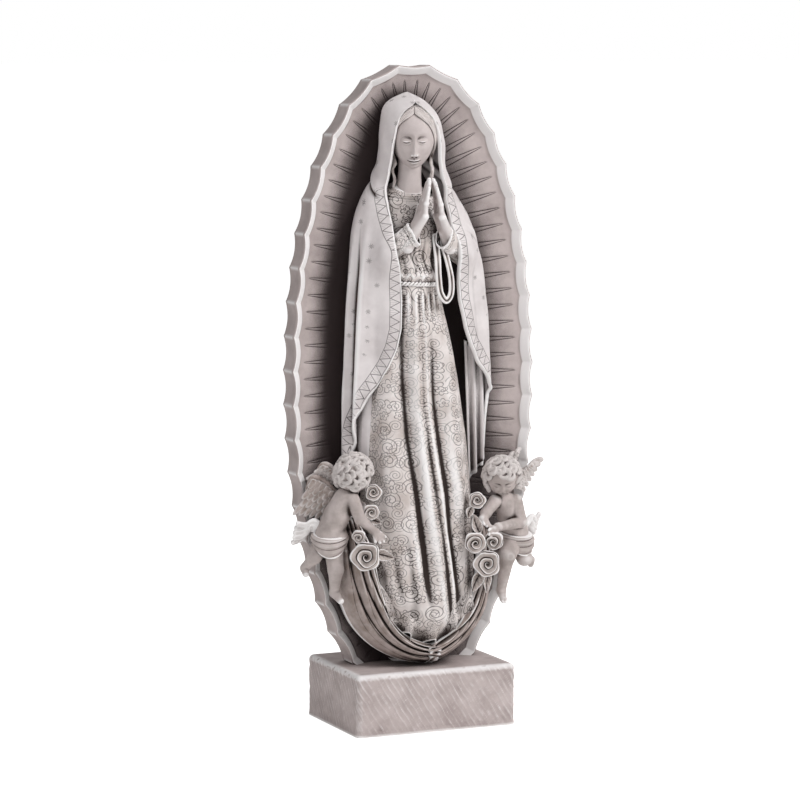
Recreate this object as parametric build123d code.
"""Free-standing devotional garden statue: a veiled, praying robed figure in front of a scalloped
oval aureole, with two winged cherubs holding roses and the swagged hem, on a tooled plinth.
Every piece is a separate cast-stone part, bedded or pinned to its neighbours.
Millimetres. Origin: centre of the plinth's underside. +Z up, the figure looks along -Y."""
import os
from math import atan2, cos, degrees, pi, sin, sqrt

from build123d import *

# Plinth: a hollow block, closed underneath by a plate with a filler hole and a rubber bung.
plinth_width = 157
plinth_depth = 120
plinth_height = 57
plinth_wall = 9
plinth_top_wall = 14
plinth_corner_radius = 5
plinth_top_radius = 3
plate_thickness = 4
plate_ledge = 3
plate_clearance = 0.25
filler_hole_radius = 11
filler_hole_x = 45
bung_head_radius = 14
bung_head_thickness = 1.6

# Aureole: an upright oval dish whose edge is cut into scallops, with a bevel inside its crest.
oval_half_width = 120
oval_half_height = 290
oval_centre_z = 310
oval_upper_power = 2.2
oval_lower_power = 2.0
scallop_count = 44
scallop_depth = 2.8
crest_y = -8
aureole_thickness = 24
crest_width = 1.5
bevel_width = 7
bevel_depth = 6
niche_rim_y = 0
niche_depth = 8
tenon_width = 70
tenon_depth = 10
tenon_height = 9
tenon_from_back = 1
tenon_clearance = 0.2

# Figure. Its landmarks are written for a figure of nominal_height and scale with figure_height.
nominal_height = 519
figure_height = 519
gown_wall = 7
gown_web_height = 8
gown_web_thickness = 20
mantle_drop = 351
hood_gap = 2.5
neck_radius = 10.5
neck_bore_clearance = 0.15
sash_height = 7
sash_thickness = 1.6
loop_radius = 1.9

# Steel: the figure's rod and the dowels between castings.
rod_radius = 4
rod_length = 90
rod_below_plinth_top = 26
nut_width = 13
nut_thickness = 6.5
washer_radius = 9
washer_thickness = 1.6
dowel_radius = 2.5
dowel_length = 24
dowel_spread = 24
pin_radius = 1.5
pin_length = 22
pin_clearance = 0.05

k = figure_height / nominal_height
aureole_back_y = crest_y + aureole_thickness
side_shift = oval_half_width - 120
all_space = 2000


def at(x, y, z):
    """A landmark of the nominal figure, carried to its real height above the plinth."""
    return Vector(x * k, y * k, plinth_height + (z - 57) * k)


def beside(side, x, y, z):
    """A landmark on a cherub. x is measured outwards from the middle; cherubs follow the oval."""
    p = at(x, y, z)
    return Vector(side * (p.X + side_shift), p.Y, p.Z)


def ellipsoid(centre, radii, turn=(0, 0, 0)):
    body = scale(Sphere(1), by=tuple(radii))
    return Pos(centre) * Rot(*turn) * body


def limb(start, end, start_radius, end_radius):
    """A tapered limb with round ends: one profile turned about the line between its joints."""
    length = (end - start).length
    foot = start_radius * sqrt(0.5)
    head = end_radius * sqrt(0.5)
    outline = [
        ThreePointArc((0, -start_radius), (foot, -foot), (start_radius, 0)),
        Line((start_radius, 0), (end_radius, length)),
        ThreePointArc((end_radius, length), (head, length + head), (0, length + end_radius)),
        Line((0, length + end_radius), (0, -start_radius)),
    ]
    body = revolve(Plane.XZ * make_face(outline), Axis.Z)
    return Plane(origin=start, z_dir=end - start) * body


def round_bar(start, end, radius):
    along = end - start
    return Part() + Solid.make_cylinder(radius, along.length, Plane(origin=start, z_dir=along))


def stacked(sections):
    """A body ruled through level elliptical sections (x, y, z, half width, half depth)."""
    faces = [Plane(origin=at(x, y, z)) * Ellipse(a * k, b * k) for x, y, z, a, b in sections]
    return loft(faces, ruled=True)


def fitted(piece, *neighbours):
    """The piece with its neighbours cut out of it, keeping only its real bodies."""
    for other in neighbours:
        piece = piece - other
    solids = piece.solids()
    largest = max(s.volume for s in solids)
    kept = [s for s in solids if s.volume > 0.02 * largest]
    return Part() + kept if len(kept) > 1 else Part() + kept[0]


def block(x_range, y_range, z_range):
    sizes = [b - a for a, b in (x_range, y_range, z_range)]
    corner = (x_range[0], y_range[0], z_range[0])
    return Pos(corner) * Box(*sizes, align=(Align.MIN,) * 3)


# --- aureole ---------------------------------------------------------------------------------
def oval_point(angle, inset):
    """A point of the oval, angle from +X. The upper half is slightly squarer than an ellipse."""
    power = oval_upper_power if sin(angle) > 0 else oval_lower_power
    c, s = cos(angle), sin(angle)
    x = (oval_half_width - inset) * abs(c) ** (2 / power) * (1 if c > 0 else -1)
    z = (oval_half_height - inset) * abs(s) ** (2 / power) * (1 if s > 0 else -1)
    return x, oval_centre_z + z


def cusp_angles():
    """Angles of the scallops' points, evenly spaced along the oval, with a scallop on top."""
    steps = 4000
    angles = [pi / 2 + 2 * pi * i / steps for i in range(steps + 1)]
    points = [oval_point(a, 0) for a in angles]
    run = [0.0]
    for (x0, z0), (x1, z1) in zip(points, points[1:]):
        run.append(run[-1] + sqrt((x1 - x0) ** 2 + (z1 - z0) ** 2))
    found, i = [], 0
    for n in range(scallop_count):
        target = (n + 0.5) * run[-1] / scallop_count
        while run[i + 1] < target:
            i += 1
        share = (target - run[i]) / (run[i + 1] - run[i])
        found.append(angles[i] + share * (angles[i + 1] - angles[i]))
    return found


def scalloped_wire(inset, y):
    """The scalloped outline at that depth: one shallow inward arc from point to point."""
    cusps = [oval_point(a, inset) for a in cusp_angles()]
    edges = []
    for (x0, z0), (x1, z1) in zip(cusps, cusps[1:] + cusps[:1]):
        chord = sqrt((x1 - x0) ** 2 + (z1 - z0) ** 2)
        inward = (-(z1 - z0) / chord, (x1 - x0) / chord)
        middle = ((x0 + x1) / 2 + inward[0] * scallop_depth, (z0 + z1) / 2 + inward[1] * scallop_depth)
        edges.append(ThreePointArc((x0, y, z0), (middle[0], y, middle[1]), (x1, y, z1)))
    return Wire(edges)


def slab(inset, y_front, y_back):
    return extrude(make_face(scalloped_wire(inset, y_front)), amount=y_back - y_front, dir=(0, 1, 0))


def behind_dish(setback=0.0):
    """Everything behind the dish's curved floor, whose axis is upright, moved back by setback."""
    inner_half_width = oval_half_width - crest_width - bevel_width
    radius = (inner_half_width**2 + niche_depth**2) / (2 * niche_depth)
    axis_y = niche_rim_y + niche_depth - radius + setback
    reach = oval_half_width + 60
    behind = block((-reach, reach), (-80, 140), (0, oval_centre_z + oval_half_height + 50))
    return behind - Pos(0, axis_y, 0) * Cylinder(radius, all_space)


def tenon(clearance=0.0):
    middle = aureole_back_y - tenon_from_back - tenon_depth / 2
    size = (tenon_width + 2 * clearance, tenon_depth + 2 * clearance, tenon_height + clearance)
    place = Pos(0, middle, plinth_height)
    return place * Box(*size, align=(Align.CENTER, Align.CENTER, Align.MAX))


def aureole():
    outer = slab(0, crest_y, aureole_back_y)
    bevel_foot = crest_y + bevel_depth
    crest_line = scalloped_wire(crest_width, crest_y)
    bevel_line = scalloped_wire(crest_width + bevel_width, bevel_foot)
    bevel = Solid.make_loft([crest_line, bevel_line], ruled=True)
    dish = slab(crest_width + bevel_width, bevel_foot - 0.01, aureole_back_y - 1)
    dish = dish - DISH_WALL
    body = outer - bevel - dish
    body = body - block((-300, 300), (-200, 200), (-300, plinth_height))
    body = body + tenon()
    return fitted(body, *aureole_dowels(pin_clearance))


def aureole_dowels(clearance=0.0):
    y = (niche_rim_y + niche_depth + aureole_back_y) / 2
    low = plinth_height - dowel_length / 2
    return [
        round_bar(Vector(x, y, low), Vector(x, y, low + dowel_length), dowel_radius + clearance)
        for x in (-dowel_spread, dowel_spread)
    ]


# --- plinth ----------------------------------------------------------------------------------
def plinth_shell():
    centred = (Align.CENTER, Align.CENTER, Align.MIN)
    body = Box(plinth_width, plinth_depth, plinth_height, align=centred)
    body = fillet(body.edges().filter_by(Axis.Z), plinth_corner_radius)
    body = fillet(body.faces().sort_by(Axis.Z)[-1].edges(), plinth_top_radius)
    inner = (plinth_width - 2 * plinth_wall, plinth_depth - 2 * plinth_wall)
    cavity = Pos(0, 0, plate_thickness) * Box(
        *inner, plinth_height - plinth_top_wall - plate_thickness, align=centred
    )
    recess = Box(inner[0] + 2 * plate_ledge, inner[1] + 2 * plate_ledge, plate_thickness, align=centred)
    body = body - cavity - recess - tenon(tenon_clearance) - figure_rod(pin_clearance)
    return fitted(body, *aureole_dowels(pin_clearance))


def plinth_bottom_plate():
    centred = (Align.CENTER, Align.CENTER, Align.MIN)
    grow = 2 * (plate_ledge - plate_clearance) - 2 * plinth_wall
    plate = Box(plinth_width + grow, plinth_depth + grow, plate_thickness, align=centred)
    hole = Pos(filler_hole_x, 0, 0) * Cylinder(filler_hole_radius, all_space)
    seat = Pos(filler_hole_x, 0, 0) * Cylinder(
        bung_head_radius + plate_clearance, bung_head_thickness, align=centred
    )
    return plate - hole - seat


def filler_bung():
    centred = (Align.CENTER, Align.CENTER, Align.MIN)
    head = Cylinder(bung_head_radius, bung_head_thickness, align=centred)
    stem = Cylinder(filler_hole_radius - 0.05, plate_thickness + 5, align=centred)
    return Pos(filler_hole_x, 0, 0) * (head + stem)


# --- steel -----------------------------------------------------------------------------------
rod_x, rod_y = 0, -16
rod_low = plinth_height - rod_below_plinth_top


def figure_rod(clearance=0.0):
    low = Vector(rod_x, rod_y, rod_low)
    high = Vector(rod_x, rod_y, rod_low + rod_length)
    return round_bar(low, high, rod_radius + clearance)


def rod_washer():
    high = plinth_height - plinth_top_wall
    ring = Cylinder(washer_radius, washer_thickness, align=(Align.CENTER, Align.CENTER, Align.MAX))
    return Pos(rod_x, rod_y, high) * ring - figure_rod(pin_clearance)


def rod_nut():
    high = plinth_height - plinth_top_wall - washer_thickness
    hexagon = RegularPolygon(nut_width / 2, 6, major_radius=False)
    body = extrude(hexagon, amount=-nut_thickness)
    return Pos(rod_x, rod_y, high) * body - figure_rod(pin_clearance)


# --- figure ----------------------------------------------------------------------------------
GOWN = [
    (6, -2, 57, 34, 18), (2, -9, 75, 52, 32), (0, -12, 100, 60, 37), (0, -12, 150, 58, 36),
    (0, -11, 200, 54, 33), (-1, -10, 260, 50, 31), (-3, -9, 320, 44, 30), (-6, -9, 370, 35, 28),
    (-8, -9, 405, 28, 27), (-8, -9, 440, 33, 28), (-7, -7, 470, 36, 25), (-7, -7, 488, 24, 20),
    (-8, -9, 497, 15, 14),
]
MANTLE = [
    (3, -3, 57 + 519 - mantle_drop, 70, 30), (4, -4, 300, 72, 33), (3, -5, 370, 69, 34),
    (1, -7, 420, 64, 34), (-2, -6, 460, 57, 31), (-5, -4, 485, 46, 27), (-6, -6, 502, 34, 26),
    (-6, -9, 522, 31, 28), (-6, -10, 530, 31, 28),
]
HOOD_CROWN = (-6, -10, 540), (31, 28, 36)
HEAD_CENTRE, HEAD_RADII = (-10, -17, 536), (19.5, 21.5, 28.5)
NECK_FOOT, NECK_TOP = (-8.5, -10, 486), (-9.5, -14, 514)
# The mantle's front opening seen from the front: down its left edge, then up its right edge.
OPENING = [
    (-25, 500), (-33, 480), (-31, 455), (-27, 420), (-25, 364), (-35, 330), (-66, 286), (-60, 150),
    (90, 150), (79, 300), (63, 321), (42, 357), (33, 389), (25, 440), (24, 455), (22, 480), (14, 500),
]
SLEEVES = {
    "right": ((-46, -22, 424), (-17, -40, 446), 16, 11),
    "left": ((52, -20, 424), (19, -39, 444), 16, 11),
}
HANDS = {
    "right": ((-17, -40, 446), (-9, -44, 464), (-4.3, -45, 480), (-2.6, -46, 499)),
    "left": ((19, -39, 444), (10.5, -44, 463), (4, -45, 480), (2.0, -46, 499)),
}
# Hand sections from wrist to fingertips: half thickness across the palms, half width along the palm.
HAND_SECTIONS = ((5.5, 6), (5, 9), (4.2, 8), (1.6, 3))
LOOP = [(10, -40, 436), (8.5, -41, 400), (15, -42, 391), (21, -41, 400), (18, -39, 434)]
LOOP_BENDS = (7, 5, 7)
# Hem swag: a crescent between two ovals, the inner one lifted, cut off level at its top.
SWAG_CENTRE = (-3, -27, 172)
SWAG_OUTER, SWAG_INNER = (77, 115), (57, 105)
SWAG_LIFT, SWAG_TOP = 18, 166


def gown_solid():
    return stacked(GOWN) - DISH_WALL


def neck_bore():
    return round_bar(at(*NECK_FOOT), at(*NECK_TOP), (neck_radius + neck_bore_clearance) * k)


def gown(outer):
    hollow = [
        (x, y, z, half_width - gown_wall, half_depth - gown_wall)
        for x, y, z, half_width, half_depth in GOWN
        if z <= 440
    ]
    hollow_body = stacked(hollow) - behind_dish(-gown_wall)
    web_low = plinth_height + gown_web_height
    web = block((-300, 300), (-200, 200), (web_low, web_low + gown_web_thickness))
    hollow_body = hollow_body - web
    return fitted(outer - hollow_body, neck_bore(), figure_rod(pin_clearance))


def hood_cavity():
    x, y, z = HEAD_CENTRE
    radii = [(r + hood_gap) * k for r in HEAD_RADII]
    back = ellipsoid(at(x, y, z), radii)
    front = ellipsoid(at(x - 5, y - 22, z - 2), (17.5 * k, 24 * k, 27 * k))
    throat = limb(at(-9, -15, 522), at(-9, -20, 490), 15 * k, 15 * k)
    return back + front + throat


def mantle(gown_body, sleeves):
    crown_centre, crown_radii = HOOD_CROWN
    outer = stacked(MANTLE) + ellipsoid(at(*crown_centre), [r * k for r in crown_radii])
    outer = outer - DISH_WALL
    outline = Polyline(*[(at(x, 0, z).X, 0, at(x, 0, z).Z) for x, z in OPENING], close=True)
    opening = extrude(make_face(outline), amount=80 * k, dir=(0, -1, 0))
    opening = Pos(0, -14 * k, 0) * opening
    return fitted(outer, gown_body, hood_cavity(), neck_bore(), opening, *sleeves)


def head():
    skull = ellipsoid(at(*HEAD_CENTRE), [r * k for r in HEAD_RADII])
    neck = round_bar(at(*NECK_FOOT), at(*NECK_TOP), neck_radius * k)
    return skull + neck


def sleeve(side, gown_body):
    elbow, wrist, elbow_radius, wrist_radius = SLEEVES[side]
    start, end = at(*elbow), at(*wrist)
    base = Plane(origin=start, z_dir=end - start)
    cone = Solid.make_cone(elbow_radius * k, wrist_radius * k, (end - start).length, base)
    arm = Part() + [cone, Pos(start) * Sphere(elbow_radius * k)]
    return fitted(arm, DISH_WALL, gown_body)


def hand(side, *neighbours):
    points = [at(*p) for p in HANDS[side]]
    faces = []
    for i, (point, (thick, wide)) in enumerate(zip(points, HAND_SECTIONS)):
        before, after = points[max(i - 1, 0)], points[min(i + 1, len(points) - 1)]
        plane = Plane(origin=point, x_dir=(1, 0, 0), z_dir=after - before)
        faces.append(plane * Ellipse(thick * k, wide * k))
    return fitted(loft(faces), *neighbours)


def waist_sash(gown_body, *neighbours):
    x, y, z, half_width, half_depth = GOWN[8]
    band = [
        (x, y, z - sash_height / 2, half_width + sash_thickness + 1, half_depth + sash_thickness),
        (x, y, z + sash_height / 2, half_width + sash_thickness, half_depth + sash_thickness),
    ]
    front = block((-300, 300), (-300, (y - 14) * k), (0, 900))
    return fitted(stacked(band) & front, gown_body, *neighbours)


def sleeve_loop(*neighbours):
    route = [at(*p) for p in LOOP]
    path = FilletPolyline(*route, radius=[r * k for r in LOOP_BENDS])
    section = Plane(origin=path @ 0, z_dir=path % 0) * Circle(loop_radius * k)
    return fitted(sweep(section, path=path), *neighbours)


def hem_swag(*neighbours):
    """The crescent of gathered cloth that hangs between the cherubs and rests on the plinth."""
    centre = at(*SWAG_CENTRE)
    reach = aureole_back_y - centre.Y
    middle = Plane(origin=centre, x_dir=(1, 0, 0), z_dir=(0, -1, 0))
    outer = extrude(middle * Ellipse(*[r * k for r in SWAG_OUTER]), amount=-reach)
    lifted = middle.offset(5)
    lifted.origin += Vector(0, 0, SWAG_LIFT * k)
    inner = extrude(lifted * Ellipse(*[r * k for r in SWAG_INNER]), amount=-(reach + 20))
    lower = block((-300, 300), (-200, 200), (plinth_height, at(0, 0, SWAG_TOP).Z))
    crescent = (outer - inner) & lower
    return fitted(crescent, DISH_WALL, figure_rod(pin_clearance), *neighbours)


# --- cherubs ---------------------------------------------------------------------------------
# Joints as (outwards x, y, z), limbs as (from, to, radius at each end).
CHERUB_LEFT = {
    "head": ((72, -35, 236), 16.5),
    "torso": [((81, -34, 212), (92, -28, 184), 12.5, 12.5)],
    "limbs": [
        ((76, -42, 214), (70, -47, 197), 6.5, 5.2), ((70, -47, 197), (58, -51, 186), 5.2, 3.4),
        ((76, -27, 216), (64, -34, 206), 6, 4.6),
        ((90, -29, 176), (88, -32, 150), 9.5, 6.5), ((88, -32, 150), (87, -26, 126), 6.5, 3.8),
        ((97, -24, 176), (106, -26, 162), 9, 6), ((106, -26, 162), (112, -17, 150), 5.5, 3.6),
    ],
    "cloth": ((92.5, -27.5, 177), (16, 15, 9)),
    "cloth_tail": ((103, -23, 187), (122, -17, 183), 4, 5),
    "wings": [((103, -15, 209), (19, 3, 11), -22), ((88, -13, 238), (17, 2.6, 9), 25)],
    "roses": [((57, -47, 220), 7), ((60, -49, 204), 6.2), ((72.5, -51, 182), 6), ((68, -53, 164), 12)],
    "leaves": [((50, -52, 164), (9, 1.6, 5.5), -20), ((64, -46, 195), (7, 1.6, 4), 35)],
    "pins": [((88, -34, 204), (88, 12, 204)), ((92, -28, 180), (92, 12, 180))],
}
CHERUB_RIGHT = {
    "head": ((74, -38, 226), 16.5),
    "torso": [((79, -34, 200), (92, -28, 174), 12, 12.5)],
    "limbs": [
        ((88, -38, 203), (91, -43, 184), 6.2, 5.2), ((91, -43, 184), (58, -52, 182), 5.2, 3.4),
        ((67, -38, 204), (56, -41, 193), 6, 4.6), ((56, -41, 193), (49, -47, 189), 4.6, 3.2),
        ((88, -32, 164), (77, -43, 154), 9.5, 7.5), ((77, -43, 154), (76, -33, 118), 7, 3.8),
        ((96, -26, 164), (99, -34, 148), 9, 7), ((99, -34, 148), (113, -18, 144), 6.2, 3.6),
    ],
    "cloth": ((93, -28, 168), (17, 15, 8.5)),
    "cloth_tail": ((108, -22, 174), (119, -17, 176), 4, 4),
    "wings": [((113, -12, 220), (19, 3, 10), 32), ((101, -12, 236), (8, 2.6, 13), -25)],
    "roses": [((45.5, -47, 207), 7.3), ((40, -55, 170), 9), ((59, -55, 170), 8.3), ((52, -54, 149), 11.5)],
    "leaves": [((42, -50, 187), (6, 1.6, 8), 10), ((44, -48, 132), (7, 1.6, 9), -10)],
    "pins": [((88, -34, 196), (88, 12, 196)), ((94, -26, 172), (94, 12, 172))],
}


def cherub_head(side, plan, *neighbours):
    centre, radius = plan["head"]
    skull = ellipsoid(beside(side, *centre), (radius * k, radius * k, radius * 1.1 * k))
    return fitted(skull, *neighbours)


def cherub_body(side, plan, *neighbours):
    pieces = [
        limb(beside(side, *a), beside(side, *b), ra * k, rb * k)
        for a, b, ra, rb in plan["torso"] + plan["limbs"]
    ]
    return fitted(Part() + pieces, *neighbours)


def cherub_cloth(side, plan, *neighbours):
    centre, radii = plan["cloth"]
    wrap = ellipsoid(beside(side, *centre), [r * k for r in radii])
    start, end, start_radius, end_radius = plan["cloth_tail"]
    tail = limb(beside(side, *start), beside(side, *end), start_radius * k, end_radius * k)
    return fitted(wrap + tail, *neighbours)


def cherub_wing(side, plan, index, *neighbours):
    centre, radii, turn = plan["wings"][index]
    blade = ellipsoid(beside(side, *centre), [r * k for r in radii], (0, -side * turn, 0))
    return fitted(blade, *neighbours)


def cherub_pins(side, plan, clearance=0.0):
    return [
        round_bar(beside(side, *a), beside(side, *b), pin_radius + clearance) for a, b in plan["pins"]
    ]


def rose_group(side, plan, *neighbours):
    flowers = [
        fitted(ellipsoid(beside(side, *centre), (r * k, 0.62 * r * k, r * k)), *neighbours)
        for centre, r in plan["roses"]
    ]
    return flowers


def leaf_group(side, plan, *neighbours):
    return [
        fitted(ellipsoid(beside(side, *centre), [r * k for r in radii], (0, -side * turn, 0)), *neighbours)
        for centre, radii, turn in plan["leaves"]
    ]


def group(pieces):
    return Compound(children=[s for piece in pieces for s in piece.solids()])


# --- assembly --------------------------------------------------------------------------------
DISH_WALL = behind_dish()


def build():
    nodes = {}
    nodes["aureole"] = aureole()
    nodes["plinth_shell"] = plinth_shell()
    nodes["plinth_bottom_plate"] = plinth_bottom_plate()
    nodes["filler_bung"] = filler_bung()
    nodes["aureole_dowels"] = group(aureole_dowels())
    nodes["figure_rod"] = figure_rod()
    nodes["rod_washer"] = rod_washer()
    nodes["rod_nut"] = rod_nut()

    gown_body = gown_solid()
    nodes["gown"] = gown(gown_body)
    sleeves = {side: sleeve(side, gown_body) for side in SLEEVES}
    for side in SLEEVES:
        nodes[f"sleeve_{side}"] = sleeves[side]
    nodes["mantle"] = mantle(gown_body, sleeves.values())
    nodes["head"] = head()
    nodes["hand_right"] = hand("right", *sleeves.values(), gown_body)
    nodes["hand_left"] = hand("left", *sleeves.values(), gown_body, nodes["hand_right"])
    nodes["waist_sash"] = waist_sash(gown_body, nodes["mantle"])
    arms = (*sleeves.values(), nodes["hand_left"])
    nodes["sleeve_loop"] = sleeve_loop(gown_body, nodes["mantle"], nodes["waist_sash"], *arms)
    swags = hem_swag(gown_body).solids().sort_by(Axis.X)
    nodes["hem_swag_left"], nodes["hem_swag_right"] = swags[0], swags[-1]

    figure = [gown_body, nodes["mantle"], *swags]
    for name, side, plan in (("left", -1, CHERUB_LEFT), ("right", 1, CHERUB_RIGHT)):
        pins = cherub_pins(side, plan)
        holes = cherub_pins(side, plan, pin_clearance)
        dish = nodes["aureole"]
        body = cherub_body(side, plan, *figure, dish)
        flowers = rose_group(side, plan, *figure, body)
        leaves = leaf_group(side, plan, *figure, body, *flowers)
        skull = cherub_head(side, plan, body, *figure, *flowers, *leaves)
        cloth = cherub_cloth(side, plan, body, *figure, *flowers, dish, *holes)
        wings = []
        for index in (0, 1):
            wings.append(cherub_wing(side, plan, index, body, skull, cloth, dish, *wings, *figure, *holes))
        nodes[f"cherub_{name}_body"] = fitted(body, *holes)
        nodes[f"cherub_{name}_head"] = skull
        nodes[f"cherub_{name}_cloth"] = cloth
        nodes[f"cherub_{name}_wing_outer"] = wings[0]
        nodes[f"cherub_{name}_wing_inner"] = wings[1]
        nodes[f"cherub_{name}_pins"] = group(pins)
        nodes[f"roses_{name}"] = group(flowers)
        nodes[f"leaves_{name}"] = group(leaves)
        nodes["aureole"] = fitted(dish, *holes)
    return nodes


os.makedirs("parts", exist_ok=True)
for node_name, shape in build().items():
    export_step(shape, f"parts/{node_name}.step")
